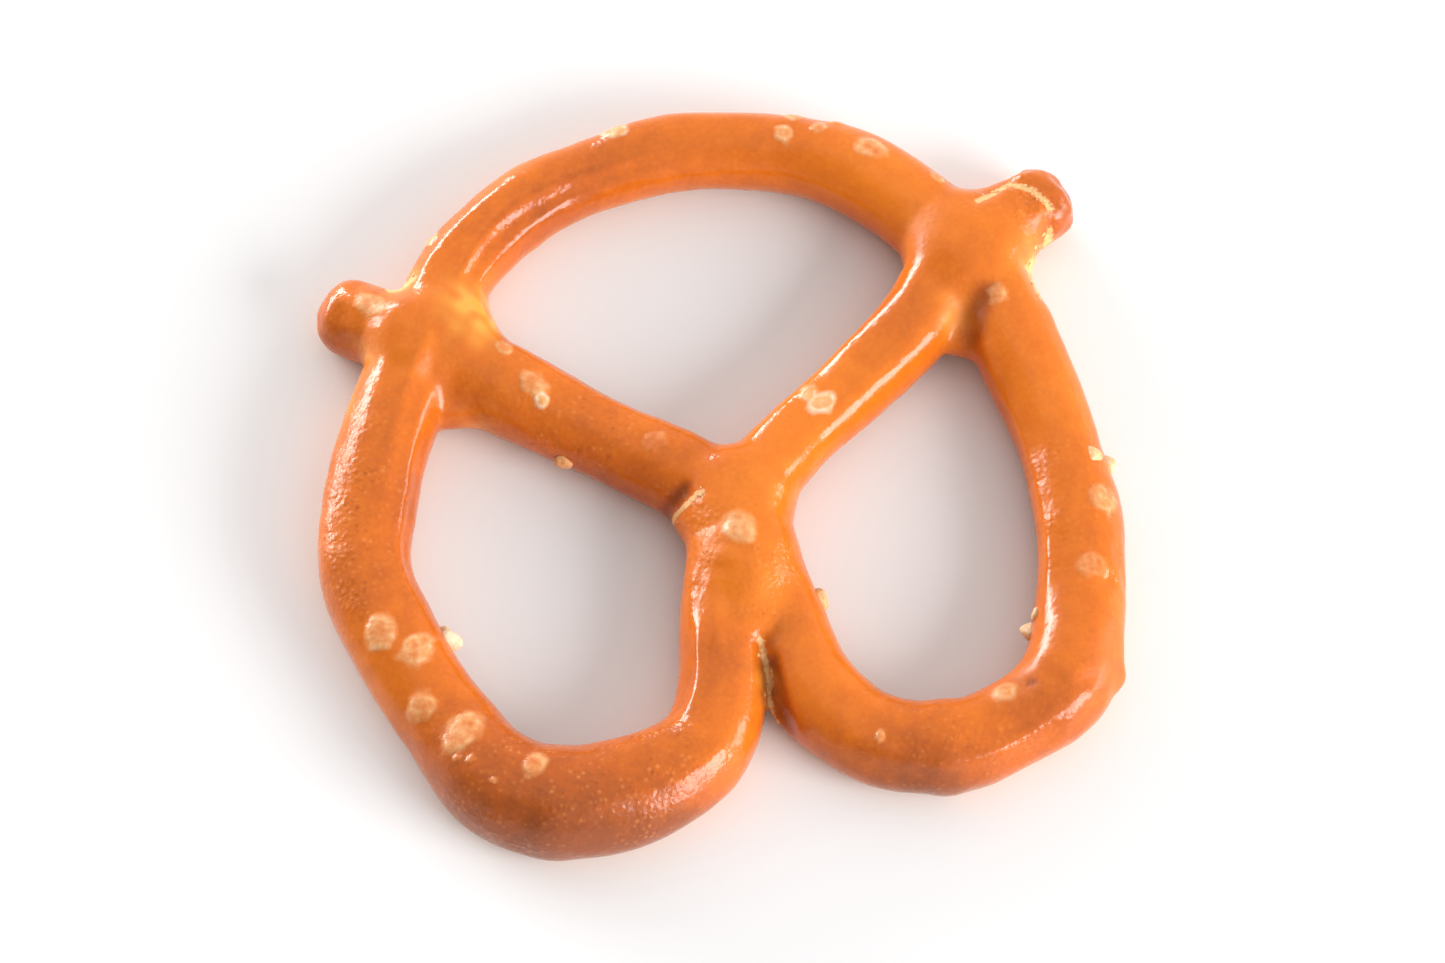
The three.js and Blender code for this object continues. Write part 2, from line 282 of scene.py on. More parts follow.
def waves(points, size, seed, count=24):
    """Soft lumps of about one unit: the sum of sines along seeded directions, of wavelength about `size`."""
    draw = np.random.default_rng(seed)
    ways = draw.normal(size=(count, points.shape[-1]))
    ways /= np.linalg.norm(ways, axis=1, keepdims=True)
    ways *= 2 * np.pi / size * draw.uniform(0.7, 1.4, (count, 1))
    return np.sin(points @ ways.T + draw.uniform(0, 2 * np.pi, count)).sum(-1) * math.sqrt(2 / count)


def lumpy(points, layers):
    """The sum over layers of height times the soft lumps of that size and seed."""
    return sum(height * waves(points, size, seed) for size, height, seed in layers)


def fade(value, full, none):
    """1 where a value is at `full`, 0 from `none` on, with a smooth step between: 3 t2 - 2 t3."""
    t = np.clip((none - value) / (none - full), 0, 1)
    return t * t * (3 - 2 * t)


def line_distance(points, start, end):
    """Distance of points from the straight line between two places."""
    run = end - start
    share = np.clip((points - start) @ run / (run @ run), 0, 1)
    return np.linalg.norm(points - start - share[..., None] * run, axis=-1)


def along_rope(plan, first_row, last_row):
    """For points in plan, the nearest station of one stretch of the rope, moved on along the tangent:
    row number, offset to its left, overshoot past the stretch's ends, height of the middle, and radius."""
    rows = np.linspace(first_row, last_row, (last_row - first_row) * STATIONS_PER_ROW + 1)
    x, y, lift, radius = catmull_rom(ROPE, rows).T
    stations = np.stack([x, y, lift + SEAT * radius, radius, rows], axis=1)
    slopes = np.gradient(stations, axis=0)
    length = np.hypot(slopes[:, 0], slopes[:, 1])[:, None]
    slopes = slopes / length
    nearest = np.concatenate([
        np.argmin((part[:, :1] - x) ** 2 + (part[:, 1:] - y) ** 2, axis=1)
        for part in np.array_split(plan, len(plan) // AT_ONCE + 1)])
    ahead = plan - stations[nearest, :2]
    step = (ahead * slopes[nearest, :2]).sum(1)
    half_step = 0.5 * length[nearest, 0]
    at_end = (nearest == 0) | (nearest == len(x) - 1)
    past_end = np.where(at_end, step - np.clip(step, -half_step, half_step), 0)
    here = stations[nearest] + slopes[nearest] * (step - past_end)[:, None]
    left = ahead[:, 1] * slopes[nearest, 0] - ahead[:, 0] * slopes[nearest, 1]
    return here[:, 4], left, past_end, here[:, 2], here[:, 3]


def strand_distance(z, row, left, past_end, middle, radius):
    """Distance from the skin of one stretch: across, up and past the end are each raised to the squareness
    and added, and the sum is raised to 1 / squareness, less radius, ripples and folds. A ripple is height
    sin(count x turn + its wandering). A fold is height exp(-(turn / width)2), whole over the middle half of
    its rows."""
    across = np.abs(left)
    up = np.abs(z - middle)
    ahead = np.abs(past_end) / NUB_BULGE
    turn = np.arctan2(z - middle, left)
    folds = sum(height * np.sin(count * turn + wander * row + sway * np.sin(pace * row))
                for count, height, wander, sway, pace in RIPPLES)
    for first, last, at, width, height in FOLDS:
        ends = fade(np.abs(row - (first + last) / 2), 0.25 * (last - first), 0.5 * (last - first))
        middle_of_fold = math.radians(at) + FOLD_SWAY * np.sin(FOLD_PACE * row + at)
        folds = folds + height * ends * np.exp(-((turn - middle_of_fold) / math.radians(width)) ** 2)
    reach = across**SQUARENESS + up**SQUARENESS + ahead**SQUARENESS
    return reach ** (1 / SQUARENESS) - radius - folds


def soft_minimum(a, b, depth):
    """The smaller of two distances, rounded off over `depth`: less depth (1 - |a - b| / depth)2 / 4."""
    near = np.maximum(depth - np.abs(a - b), 0) / depth
    return np.minimum(a, b) - 0.25 * depth * near**2


def fillet_depth(plan):
    """The depth of the fillets at places in plan: it swells round each place where dough has run together."""
    away = np.linalg.norm(plan[..., None, :] - FILLETS[:, :2], axis=-1) / FILLETS[:, 2]
    return SHARP_FILLET + (np.exp(-away**4) * (FILLETS[:, 3] - SHARP_FILLET)).max(-1)


def from_grains(plan):
    """How far places in plan are from the middle of each sunken grain: 1 on its outline, a rough ellipse."""
    away = plan[:, None] - SUNKEN[:, :2]
    heading = np.radians(SUNKEN[:, 4])
    along = away[..., 0] * np.cos(heading) + away[..., 1] * np.sin(heading)
    across = away[..., 1] * np.cos(heading) - away[..., 0] * np.sin(heading)
    ragged = 1 + lumpy(plan, GRAIN_LUMPS)[:, None]
    return 2 * np.hypot(along / SUNKEN[:, 3], across / SUNKEN[:, 2]) * ragged


def spots(points, places):
    """The sum over a list of places of amount exp(-(distance / reach)2)."""
    away = np.linalg.norm(points[..., None, :] - places[:, :3], axis=-1) / places[:, 3]
    return (places[:, 4] * np.exp(-away**2)).sum(-1)


def carved(plan, lines):
    """The depth of round-bottomed grooves at places in plan: the sum of depth exp(-(distance / width)2)."""
    return sum(line[5] * np.exp(-(line_distance(plan, line[:2], line[2:4]) / max(line[4], 2 * PITCH)) ** 2)
               for line in lines)


def dough(plan, z):
    """Distance from the skin, negative inside, for places in plan (n, 2) at heights z (n, m): the soft
    minimum of the stretches and the bars, less the relief, and cut off softly at height 0."""
    depth = fillet_depth(plan)[:, None]
    whole = np.full(z.shape, np.inf)
    for stretch in STRETCHES:
        row, left, past_end, middle, radius = (v[:, None] for v in along_rope(plan, *stretch))
        strand = strand_distance(z, row, left, past_end, middle, radius)
        whole = soft_minimum(whole, strand, depth)
    points = np.dstack([np.broadcast_to(plan[:, :1], z.shape), np.broadcast_to(plan[:, 1:], z.shape), z])
    for web in WEBS:
        near = np.hypot(*(plan - (web[:2] + web[2:4]) / 2).T) < WEB_REACH
        bar = line_distance(points[near], web[[0, 1, 4]], web[[2, 3, 4]]) - web[5]
        whole[near] = soft_minimum(whole[near], bar, depth[near])
    relief = lumpy(points, SKIN_LUMPS)
    relief += MOUND * fade(from_grains(plan).min(1), GRAIN_CORE, MOUND_END)[:, None]
    for place in WRINKLED:
        near = np.hypot(*(plan - place[:2]).T) < 2 * place[3]
        relief[near] += spots(points[near], place[None]) * waves(points[near], WRINKLE_SIZE, WRINKLE_SEED)
    relief -= (carved(plan, TORN) + carved(plan, CREASES))[:, None] * fade(z, WHOLE_FROM, NONE_BELOW)
    return -soft_minimum(relief - whole, z, UNDERSIDE_ROUND)


def near_rope(plan):
    """Whether places in plan are within the grid's margin of the rope, by four stations for each row."""
    stations = catmull_rom(ROPE, np.linspace(0, LAST_ROW, 4 * LAST_ROW + 1))
    return np.concatenate([
        (np.linalg.norm(part[:, None] - stations[:, :2], axis=-1) - stations[:, 3]).min(1) < MARGIN
        for part in np.array_split(plan, len(plan) // AT_ONCE + 1)])


def skin(field, pitch, corner):
    """Surface nets: one point in each grid cell that the skin passes through, at the mean of the places
    where the cell's edges pierce the skin, and one face round each pierced edge. Returns points and faces."""
    cells = tuple(n - 1 for n in field.shape)
    rings, piercings = [], []
    for axis in range(3):
        along, left, up = np.roll(np.eye(3, dtype=int), -axis, axis=0)
        here = field[tuple(slice(0, n - d) for n, d in zip(field.shape, along))]
        there = field[tuple(slice(d, n) for n, d in zip(field.shape, along))]
        place = np.argwhere((here < 0) != (there < 0))
        low, high = here[tuple(place.T)], there[tuple(place.T)]
        ring = place[:, None] - np.array([0 * left, left, left + up, up])
        rings.append(np.where((low < 0)[:, None, None], ring, ring[:, ::-1]))
        piercings.append(place + (low / (low - high))[:, None] * along)
    ring = np.moveaxis(np.concatenate(rings), -1, 0)
    piercing = np.repeat(np.concatenate(piercings), 4, axis=0)
    faces = np.unique(np.ravel_multi_index(tuple(ring), cells), return_inverse=True)[1].reshape(-1, 4)
    total = np.stack([np.bincount(faces.ravel(), piercing[:, i]) for i in range(3)], axis=1)
    return corner + pitch * total / np.bincount(faces.ravel())[:, None], faces


low = ROPE[:, :2].min(0) - ROPE[:, 3].max() - MARGIN
high = ROPE[:, :2].max(0) + ROPE[:, 3].max() + MARGIN
top = (ROPE[:, 2] + (1 + SEAT) * ROPE[:, 3]).max() + MARGIN
xs = np.arange(low[0], high[0], PITCH)
ys = np.arange(low[1], high[1], PITCH)
zs = np.arange(-2.5 * PITCH, top, PITCH)    # the flat underside, at height 0, lies midway between two
plan = np.stack(np.meshgrid(xs, ys, indexing="ij"), axis=-1).reshape(-1, 2)
near = near_rope(plan)
field = np.full((len(plan), len(zs)), MARGIN)
field[near] = dough(plan[near], np.broadcast_to(zs, (near.sum(), len(zs))))
field = field.reshape(len(xs), len(ys), len(zs))
skin_points, skin_faces = skin(field, PITCH, np.array([xs[0], ys[0], zs[0]]))


def new_piece(name, points, faces):
    """A smooth-shaded mesh object from points in millimetres and faces, which rides on the pretzel."""
    mesh = bpy.data.meshes.new(name)
    mesh.from_pydata((points * MM).tolist(), [], faces)
    mesh.polygons.foreach_set("use_smooth", np.ones(len(faces), bool))
    mesh.update()
    piece = bpy.data.objects.new(name, mesh)
    bpy.context.scene.collection.objects.link(piece)
    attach(piece, "root")
    return piece


def paint_points(piece, name, amounts):
    """Stores one number for each point of the mesh, which the material reads by name."""
    layer = piece.data.attributes.new(name, "FLOAT", "POINT")
    layer.data.foreach_set("value", np.clip(amounts, 0, 1).astype(np.float32))


crust = new_piece("crust", skin_points, skin_faces.tolist())
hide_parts("pretzel")
skin_facing = np.empty(3 * len(skin_points))
crust.data.vertices.foreach_get("normal", skin_facing)
skin_facing = skin_facing.reshape(-1, 3)

# How much darker or lighter than the rest a place is painted: partly how far it is baked, partly painted
# shade on lower and inner faces and painted light on upper ones. Place, reach and amount.
#      x      y     z   reach  amount
BAKE_AND_SHADE = np.array([
    # The lobes' outer faces, which face the front and down: painted shade, with some deeper baking.
    (-10.0, -23.6,  2.2,  5.5,  0.85),  # left lobe, outer face
    ( -3.5, -21.6,  2.2,  4.0,  0.60),
    (-16.5, -19.5,  2.5,  4.0,  0.30),
    (-20.8,  -3.5,  5.0,  4.0,  0.12),  # left side
    ( -4.0,  20.5,  4.4,  5.0,  0.12),  # arch, inner top
    ( 12.0, -20.0,  2.0,  5.0,  0.70),  # right lobe, outer face
    ( 19.5, -15.5,  2.0,  3.5,  0.35),
    # Upper faces: painted light, with some lighter baking.
    ( 14.0, -15.0,  4.6,  4.5, -0.20),  # right lobe, inner top
    (  7.5, -13.5,  4.4,  3.5, -0.15),
    ( -4.5, -17.5,  5.6,  3.5, -0.10),  # left lobe, inner top
    (-13.0,  20.4,  3.6,  5.0, -0.18),  # arch, outer left
    ( 15.5,  15.5,  4.8,  3.5, -0.22),  # right shoulder
    (  6.0,   5.0,  4.0,  4.0, -0.45),  # right arm, upper face
    (  0.0, -12.0,  4.6,  3.0,  0.10),  # stem, lower left
    (-21.3,   7.5,  3.0,  2.2, -0.10),
    # Outer foot, inner faces and lower faces: painted shade, with some deeper baking.
    ( 21.8, -12.0,  2.0,  3.0,  0.15),  # right side, outer foot
    ( 23.4,  -4.0,  2.0,  3.0,  0.15),
    (-18.0,  -1.5,  3.0,  4.0,  0.25),  # left side, inner face
    (-16.4,  -9.0,  3.0,  3.5,  0.15),
    (  8.4,   3.6,  2.8,  3.5,  0.30),  # right arm, lower face
    (-10.0,  17.2,  3.2,  4.0,  0.40),  # arch, inner face
    (-23.4,  10.2,  2.0,  2.2,  0.30),  # left nub
    ( 20.4,  17.8,  2.4,  2.2,  0.45),  # right nub
    (-14.0,   3.6,  2.4,  3.0,  0.10),
    # The left arm's lower face, under the stem: painted shadow.
    ( -8.0,   1.0,  2.4,  3.0,  0.25),  # left arm, lower face
    ( -4.6,  -0.8,  2.4,  2.6,  0.20),
    # The crossing, the stem, the arch and the right side: painted light, with some lighter baking.
    (  1.4,  -2.4,  6.0,  3.6, -0.25),  # crossing
    (  1.2,  -8.0,  4.6,  3.6, -0.20),  # stem
    (  9.8,  17.6,  3.4,  4.0, -0.20),  # arch, right
    (  0.0,  22.6,  4.0,  6.0, -0.08),  # arch
    ( 16.6,   5.2,  3.4,  3.6, -0.25),  # right side, inner face
    ( 21.0,  -3.0,  4.8,  5.0, -0.10),
])
USUAL_BAKE = 0.30
BAKE_LUMPS = ((8.0, 0.05, 21), (1.6, 0.03, 25))     # size, amount and seed of each layer
DIP_SHADE_AND_BAKE = 0.5                                      # how much darker the dips are painted: painted shade, and some deeper baking

# Where the dough was drawn thin and stayed golden: place, reach and amount.
GOLDEN = np.array([
    (-14.9,  10.0,  4.4,  1.8,  1.5),   # left shoulder, in the corner of the upper hole
    (-19.3,  12.2,  3.4,  1.2,  1.2),   # between the left nub and the arch
    (-13.9,   4.6,  2.0,  1.6,  0.6),   # left shoulder, in the corner of the left hole
    ( 13.8,  10.2,  3.6,  1.3,  0.5),   # right arm, lower edge at the shoulder
    (  2.6,  -1.6,  3.5,  1.6,  0.4),   # right of the crossing
    ( 18.2,  14.2,  3.2,  1.2,  0.4),   # under the right nub
    (  2.1, -13.4,  2.8,  1.2,  0.8),   # notch between the lobes
    (-20.7,   7.4,  3.0,  1.3,  0.7),   # left side, outer edge below the nub
    (-22.7,   4.4,  3.0,  1.5,  0.6),
])
GOLDEN_LUMPS = ((1.5, 0.3, 22),)

# Where the lye has raised small blisters in the skin: place, reach and amount.
BLISTERED = np.array([
    (-22.5,   0.0,  3.0,  4.0,  1.0),   # left side, outer face
    (-22.5,  -5.0,  3.0,  3.0,  0.9),
    (-22.0,  -8.6,  3.6,  2.2,  0.7),
    (-12.0, -21.5,  4.0,  5.0,  0.9),   # left lobe
    ( -4.0, -19.5,  5.0,  3.5,  0.9),
    ( -0.8,  -5.0,  4.0,  3.0,  1.0),   # stem
    (  3.5,  -7.5,  4.2,  2.5,  0.8),
    ( -8.0,   3.0,  3.6,  5.0,  0.6),   # left arm
    ( 19.0,  -2.0,  3.6,  3.5,  0.6),   # right side
    (-22.0,   9.6,  2.0,  2.0,  0.9),   # left nub
    ( 18.5,  17.7,  3.0,  2.6,  0.9),   # right nub
    ( 14.0, -17.5,  4.5,  5.0,  0.4),   # right lobe
    (-18.0,  17.0,  3.0,  2.2,  0.7),   # arch
])
BLISTER_LUMPS = ((3.0, 0.4, 23),)

# Where flour has left the glaze dull: place, reach and amount.
DULL = np.array([
    ( 12.1,  15.9,  3.8,  1.7,  1.0),   # right shoulder
    ( 14.0,  10.4,  3.6,  1.3,  1.0),
    ( 18.6,  16.4,  3.2,  1.0,  0.6),   # root of the right nub
    (-20.3,  10.3,  3.4,  1.5,  1.0),   # root of the left nub
    (-17.7,   6.4,  4.4,  1.2,  0.8),   # left shoulder
    (  0.4,  -5.4,  4.6,  1.6,  0.5),   # stem
    ( 22.2, -11.8,  3.2,  2.2,  1.0),   # right lobe, outer edge
    ( 17.0, -13.9,  4.6,  1.5,  1.0),   # right lobe, inner edge
])

TINT_WHOLE_FROM = 1.8   # height from which the tint of dips and cracks is whole
NO_TINT_BELOW = 0.8     # height below which there is none


def near_lines(points, lines, full, none):
    """1 near the lines in plan and 0 away from them; `full` and `none` are in half widths of each line."""
    away = [line_distance(points[:, :2], line[:2], line[2:4]) / line[4] for line in lines]
    return fade(np.min(away, axis=0), full, none) * fade(points[:, 2], TINT_WHOLE_FROM, NO_TINT_BELOW)


# Darker or lighter by baking, by painted shade and by painted light, from the table above.
bake = USUAL_BAKE + spots(skin_points, BAKE_AND_SHADE) + lumpy(skin_points, BAKE_LUMPS)
# Painted shade, with some deeper baking, along the dips.
bake += DIP_SHADE_AND_BAKE * near_lines(skin_points, CREASES, full=0.3, none=1.6)
height = skin_points[:, 2]
looks_up = skin_facing[:, 2] > 0.2
grain_distance = from_grains(skin_points[:, :2])
paint_points(crust, "bake", bake)
paint_points(crust, "golden", spots(skin_points, GOLDEN) * (0.8 + lumpy(skin_points, GOLDEN_LUMPS)))
paint_points(crust, "torn", near_lines(skin_points, TORN, full=0.2, none=2.4))
paint_points(crust, "blister", spots(skin_points, BLISTERED) * (0.6 + lumpy(skin_points, BLISTER_LUMPS)))
paint_points(crust, "dull", spots(skin_points, DULL))
paint_points(crust, "salted", fade(grain_distance.min(1), GRAIN_CORE, TINT_END) * looks_up)
paint_points(crust, "whiteness", SUNKEN[grain_distance.argmin(1), 6])
paint_points(crust, "foot", fade(height, full=0.2, none=2.4))
paint_points(crust, "underside", fade(height, full=0.02, none=0.12))


class Paint:
    """One socket of a material's nodes. Sums, differences and products of paints add Math nodes."""

    def __init__(self, tree, socket=None):
        self.tree = tree
        self.socket = socket

    def node(self, kind, settings=None, sockets=None, output=0):
        """Adds a node: its settings first, then the values or links of its sockets. Stops are a ramp's."""
        made = self.tree.nodes.new(kind)
        for name, setting in (settings or {}).items():
            if name == "stops":
                ramp = made.color_ramp.elements
                while len(ramp) < len(setting):
                    ramp.new(1.0)
                for stop, (place, colour) in zip(ramp, setting):
                    stop.position = place
                    stop.color = (*colour, 1)
            else:
                setattr(made, name, setting)
        for name, source in (sockets or {}).items():
            if isinstance(source, Paint):
                self.tree.links.new(source.socket, made.inputs[name])
            else:
                made.inputs[name].default_value = source
        return Paint(self.tree, made.outputs[output])

    def math(self, operation, first, second):
        return self.node("ShaderNodeMath", {"operation": operation}, {0: first, 1: second})

    def __add__(self, other):
        return self.math("ADD", self, other)

    def __radd__(self, other):
        return self.math("ADD", other, self)

    def __sub__(self, other):
        return self.math("SUBTRACT", self, other)

    def __rsub__(self, other):
        return self.math("SUBTRACT", other, self)

    def __mul__(self, other):
        return self.math("MULTIPLY", self, other)

    def __rmul__(self, other):
        return self.math("MULTIPLY", other, self)

    def between(self, low, high):
        """0 where the value is `low`, 1 where it is `high`, even between and held outside."""
        ends = {"Value": self, "From Min": low, "From Max": high}
        return self.node("ShaderNodeMapRange", {"clamp": True}, ends)

    def ramp(self, *stops):
        """The colour at this value between stops of place and colour."""
        return self.node("ShaderNodeValToRGB", {"stops": stops}, {"Fac": self})

    def mixed(self, colour, share):
        """This colour with a share of another."""
        other = colour if isinstance(colour, Paint) else (*colour, 1)
        return self.node("ShaderNodeMix", {"data_type": "RGBA"}, {0: share, 6: self, 7: other}, output=2)

    def read(self, name):
        """The numbers that paint_points stored on the mesh."""
        return self.node("ShaderNodeAttribute", {"attribute_name": name}, output="Fac")

    def cloud(self, size, detail=3.0, roughness=0.5):
        """A cloudy pattern with lumps of a size in millimetres."""
        place = self.node("ShaderNodeTexCoord", output="Object")
        sockets = {"Vector": place, "Scale": 1 / (size * MM), "Detail": detail, "Roughness": roughness}
        return self.node("ShaderNodeTexNoise", sockets=sockets)

    def dots(self, spacing, size):
        """Round dots, 1 at their middles, about `spacing` millimetres apart; size is in spacings."""
        place = self.node("ShaderNodeTexCoord", output="Object")
        away = self.node("ShaderNodeTexVoronoi", sockets={"Vector": place, "Scale": 1 / (spacing * MM)})
        return away.between(size, 0.0)

    def bump(self, height, depth):
        """A Bump node for a height of 0 to 1 that stands for a depth in millimetres."""
        sockets = {"Height": height, "Distance": depth * MM, "Strength": 1.0}
        return self.node("ShaderNodeBump", sockets=sockets)

    def to(self, shader, name):
        """Links this socket to a named socket of a shader."""
        self.tree.links.new(self.socket, shader.inputs[name])


def new_material(name, piece):
    """A node material on the piece: its shader, and a paint from which its nodes are made."""
    material = bpy.data.materials.new(name)
    material.use_nodes = True
    piece.data.materials.append(material)
    return material.node_tree.nodes["Principled BSDF"], Paint(material.node_tree)


# Colours of the crust, as linear red, green and blue, the ramps with the place of each colour.
CRUST_BROWNS = (
    (0.00, (0.760, 0.190, 0.013)),
    (0.30, (0.650, 0.146, 0.010)),
    (0.60, (0.480, 0.100, 0.011)),
    (1.00, (0.270, 0.062, 0.014)))
SALT_TANS = (
    (0.00, (0.62, 0.150, 0.028)),
    (0.35, (0.74, 0.270, 0.085)),
    (0.70, (0.84, 0.460, 0.200)),
    (1.00, (0.90, 0.740, 0.520)))
BELT_BROWNS = (
    (0.36, (0.38, 0.110, 0.022)),
    (0.64, (0.60, 0.230, 0.055)))
GOLD = (0.84, 0.36, 0.055)
FOOT_GOLD = (0.60, 0.24, 0.050)
# Pale dots: partly pale blisters, partly painted glints.
PALE_BLISTER_AND_GLINT = (0.85, 0.34, 0.09)
DARK_PIT = (0.22, 0.035, 0.008)
TORN_DOUGH = (0.84, 0.48, 0.19)
GLAZE_SHINE = 0.38      # specular level
CRUST_RELIEF = 0.09     # depth of the finest blisters and pits, which are bump

shader, paint = new_material("lye_crust", crust)
mottle = paint.cloud(1.3, 4.0, 0.6)
speck = paint.cloud(0.35, 3.0)
veins = paint.cloud(0.55, 2.5, 0.5)
shreds = paint.cloud(0.40, 4.0, 0.7)
blister = paint.read("blister")
salted = paint.read("salted")
underside = paint.read("underside")
baked_and_shaded = paint.read("bake") + 0.16 * (mottle - 0.5) + 0.30 * (speck - 0.5)
grains = (salted + 0.25 * (veins - 0.5)).between(0.10, 0.80)
pale_rim = 1 + 0.6 * salted.between(1.0, 0.6)
white = paint.read("whiteness") * pale_rim + 1.2 * (veins - 0.5)
torn = (paint.read("torn") + 1.6 * (shreds - 0.5)).between(0.50, 0.90)
belt = 0.5 * paint.cloud(2.5) + 0.5 * speck

# The glaze first, then what lies in it, then the torn dough, and the underside over all of them.
# Browns by baking, darkened by painted shade and lightened by painted light where the table above says.
colour = baked_and_shaded.ramp(*CRUST_BROWNS)
colour = colour.mixed(FOOT_GOLD, 0.7 * paint.read("foot"))
# Pale dots, partly pale blisters and partly painted glints, and dark pits, more where the skin is blistered.
colour = colour.mixed(PALE_BLISTER_AND_GLINT, (0.10 + 0.45 * blister) * paint.dots(0.50, 0.35))
colour = colour.mixed(DARK_PIT, (0.06 + 0.55 * blister) * paint.dots(0.60, 0.28))
colour = colour.mixed(GOLD, paint.read("golden"))
colour = colour.mixed(white.ramp(*SALT_TANS), 0.9 * grains)
colour = colour.mixed(TORN_DOUGH, torn)
colour = colour.mixed(belt.ramp(*BELT_BROWNS), underside)
colour = colour.mixed(DARK_PIT, 0.5 * underside * paint.dots(1.2, 0.20))
colour.to(shader, "Base Color")

dull = 0.15 * blister + 0.40 * torn + 0.12 * grains + 0.40 * underside + 0.50 * paint.read("dull")
(0.07 + dull + 0.18 * mottle).to(shader, "Roughness")
shader.inputs["Specular IOR Level"].default_value = GLAZE_SHINE

grit = paint.cloud(0.45, 3.0, 0.6) + 0.4 * paint.dots(0.42, 0.6)
gritty = 0.22 + 0.78 * blister + 0.40 * underside
relief = gritty * grit + 0.7 * torn * shreds + grains * (0.3 + 0.5 * veins)
paint.bump(relief, CRUST_RELIEF).to(shader, "Normal")

# ---- The salt ----
# Coarse salt, scattered on the wet rope before it was baked. Most grains have sunk in level with the skin
# and are glazed tan with a pale rim; those on the flanks stand clear as white crystals.
THINNEST_GRAIN = 0.35
THICKENING = 1.2        # how much thicker a grain is for each millimetre that it stands out
GRAIN_CHIPS = 14
CHIP_DEPTHS = (0.60, 0.95)  # how far the chips lie from the middle of a grain, in half sizes
SHARPNESS = 12          # power that rounds the edges between the chips; a higher one is sharper
UPWARD = 0.06           # how much farther off its place a seat may be for each millimetre that it is higher


def seats_at(places):
    """The numbers of the skin's points nearest to places in plan, and of points alike near the highest."""
    return np.array([
        np.argmin(np.hypot(*(skin_points[:, :2] - place).T) - UPWARD * skin_points[:, 2])
        for place in places])


def chipped_lumps(seats, sizes, headings, thick, stands, chips, rings, sides):
    """Lumps on a grid of latitude and longitude that is closed by a fan at each pole. Along each way w a
    lump reaches (1 + sum of (w . chip)s) to the power -1/s, where s is the sharpness, so that chips cut its
    ball. It is scaled to its width, length and thickness, and stands out of the skin at its seat."""
    turn = 2 * np.pi * np.arange(sides) / sides
    lean = np.pi * np.arange(1, rings + 1)[:, None] / (rings + 1)
    ring = np.dstack([np.sin(lean) * np.cos(turn), np.sin(lean) * np.sin(turn), np.cos(lean) + 0 * turn])
    ways = np.vstack([(0, 0, 1), ring.reshape(-1, 3), (0, 0, -1)])
    count = len(seats)
    planes = draw.normal(size=(count, chips, 3))
    planes /= np.linalg.norm(planes, axis=-1, keepdims=True) * draw.uniform(*CHIP_DEPTHS, (count, chips, 1))
    towards = np.clip(np.einsum("wi,gpi->gwp", ways, planes), 0, None)
    reach = (1 + (towards**SHARPNESS).sum(-1)) ** (-1 / SHARPNESS)
    half = np.stack([sizes[:, 1], sizes[:, 0], thick], axis=1) / 2
    local = ways * reach[..., None] * half[:, None]

    facing = skin_facing[seats]
    ahead = np.stack([np.cos(headings), np.sin(headings), 0 * headings], axis=1)
    ahead -= (ahead * facing).sum(1, keepdims=True) * facing
    ahead /= np.linalg.norm(ahead, axis=1, keepdims=True)
    frames = np.stack([ahead, np.cross(facing, ahead), facing], axis=1)
    middles = skin_points[seats] + facing * (stands - thick / 2)[:, None]
    points = middles[:, None] + np.einsum("gwi,gij->gwj", local, frames)

    near = 1 + np.arange(sides)
    far = 1 + np.roll(np.arange(sides), -1)
    last = (rings - 1) * sides
    pole = len(ways) - 1
    bands = [np.stack([near, near + sides, far + sides, far], 1) + r * sides for r in range(rings - 1)]
    fans = [np.stack([0 * near, near, far], 1), np.stack([0 * near + pole, far + last, near + last], 1)]
    starts = np.arange(count)[:, None, None] * len(ways)
    quads = (np.concatenate(bands) + starts).reshape(-1, 4)
    triangles = (np.concatenate(fans) + starts).reshape(-1, 3)
    return points.reshape(-1, 3), quads.tolist() + triangles.tolist()


draw = np.random.default_rng(11)
stands = CRYSTALS[:, 5]
thick = THINNEST_GRAIN + THICKENING * stands
grain_points, grain_faces = chipped_lumps(
    seats_at(CRYSTALS[:, :2]), CRYSTALS[:, 2:4], np.radians(CRYSTALS[:, 4]), thick, stands,
    GRAIN_CHIPS, rings=9, sides=18)
salt = new_piece("salt", grain_points, grain_faces)
paint_points(salt, "whiteness", np.repeat(CRYSTALS[:, 6], len(grain_points) // len(CRYSTALS)))

shader, paint = new_material("baked_salt", salt)
veins = paint.cloud(0.30, 4.0, 0.7)
(paint.read("whiteness") + veins - 0.5).ramp(*SALT_TANS).to(shader, "Base Color")
shader.inputs["Roughness"].default_value = 0.35
shader.inputs["Specular IOR Level"].default_value = GLAZE_SHINE
shader.inputs["Subsurface Weight"].default_value = 0.25
shader.inputs["Subsurface Radius"].default_value = (0.6, 0.4, 0.25)
shader.inputs["Subsurface Scale"].default_value = 0.5 * MM
paint.bump(paint.cloud(0.28, 3.0, 0.6), 0.10).to(shader, "Normal")

# ---- The crumbs ----
# Crumbs of dough that cling along the torn edges, where the skin parted as it was baked. They are pale and
# dry, and none is longer than about half a millimetre.
CRUMBS_PER_MM = 2
CRUMB_CHIPS = 6
CRUMB_WIDTHS = (0.12, 0.32)     # the narrowest and the widest
CRUMB_LENGTHS = (1.0, 1.6)      # the shortest and the longest, in widths
CRUMB_THICKNESS = 0.7           # in widths; a crumb is sunk into the skin by half of it
CRUMB_BROWNS = (
    (0.35, (0.72, 0.26, 0.045)),
    (0.65, (0.88, 0.62, 0.300)))

